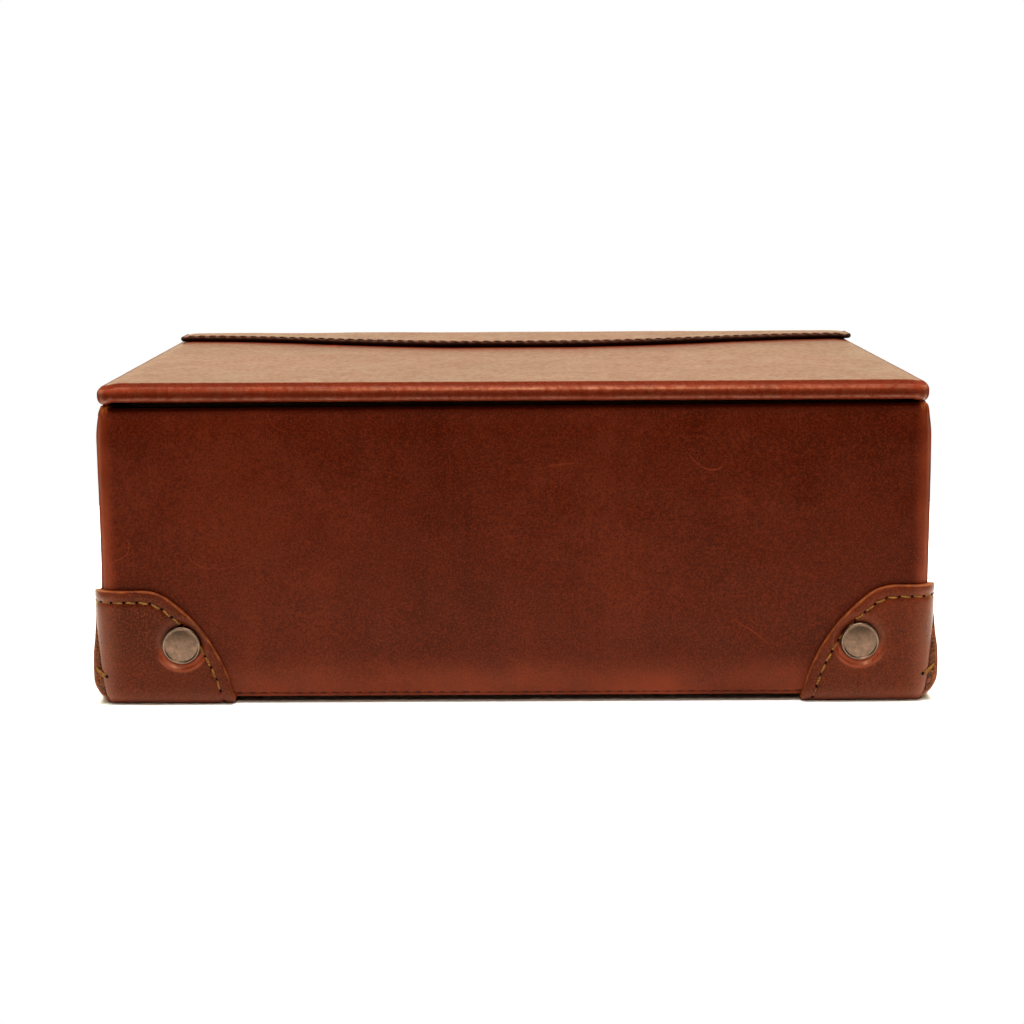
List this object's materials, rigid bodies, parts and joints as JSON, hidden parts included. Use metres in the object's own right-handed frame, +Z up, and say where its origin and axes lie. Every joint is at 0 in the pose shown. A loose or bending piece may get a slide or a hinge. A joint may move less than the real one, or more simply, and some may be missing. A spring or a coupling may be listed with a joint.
{
  "type": "desk organizer with lift lid",
  "caption": "Low rectangular leather-covered box with a lift lid on a sewn leather hinge strip, divided inside, standing on riveted leather corner guards.",
  "frame": {"origin": "on the desk, under the middle of the box", "axes": "+X right along the long side, +Y towards the hinge at the back, +Z up"},
  "size_m": [0.2706, 0.1778, 0.1047],
  "materials": {
    "cover_leather": "smooth waxed pull-up leather, semi-gloss, red brown",
    "lid_leather": "smooth waxed pull-up leather, semi-gloss, red brown",
    "strip_leather": "smooth waxed leather with burnished dark edges and tan stitching",
    "guard_leather": "thicker smooth waxed leather with raw edges and tan stitching",
    "rivet_metal": "antique copper plate, matt",
    "board": "thin bare board, hidden under the leather",
    "lining": "napped brown lining cloth over card"
  },
  "bodies": {
    "case": {"wall_cover": "cover_leather", "base_cover": "cover_leather", "hinge_lower_leaf": "strip_leather", "corner_guard_front_left": "guard_leather", "corner_guard_front_right": "guard_leather", "corner_guard_rear_left": "guard_leather", "corner_guard_rear_right": "guard_leather", "rivet_caps": "rivet_metal", "rivet_backs": "rivet_metal", "base_panel": "board", "front_panel": "board", "rear_panel": "board", "left_panel": "board", "right_panel": "board", "base_lining": "lining", "front_lining": "lining", "rear_lining": "lining", "left_lining": "lining", "right_lining": "lining", "long_divider": "lining", "cross_divider": "lining"},
    "lid": {"lid_panel": "board", "lid_cover": "lid_leather", "lid_lining": "lining", "hinge_upper_leaf": "strip_leather"}
  },
  "joints": [
    {"name": "lid_hinge", "type": "hinge", "parent": "case", "child": "lid", "pos_m": [0, 0.08642, 0.10312], "axis": [-1, 0, 0], "range_deg": [0, 110]}
  ]
}
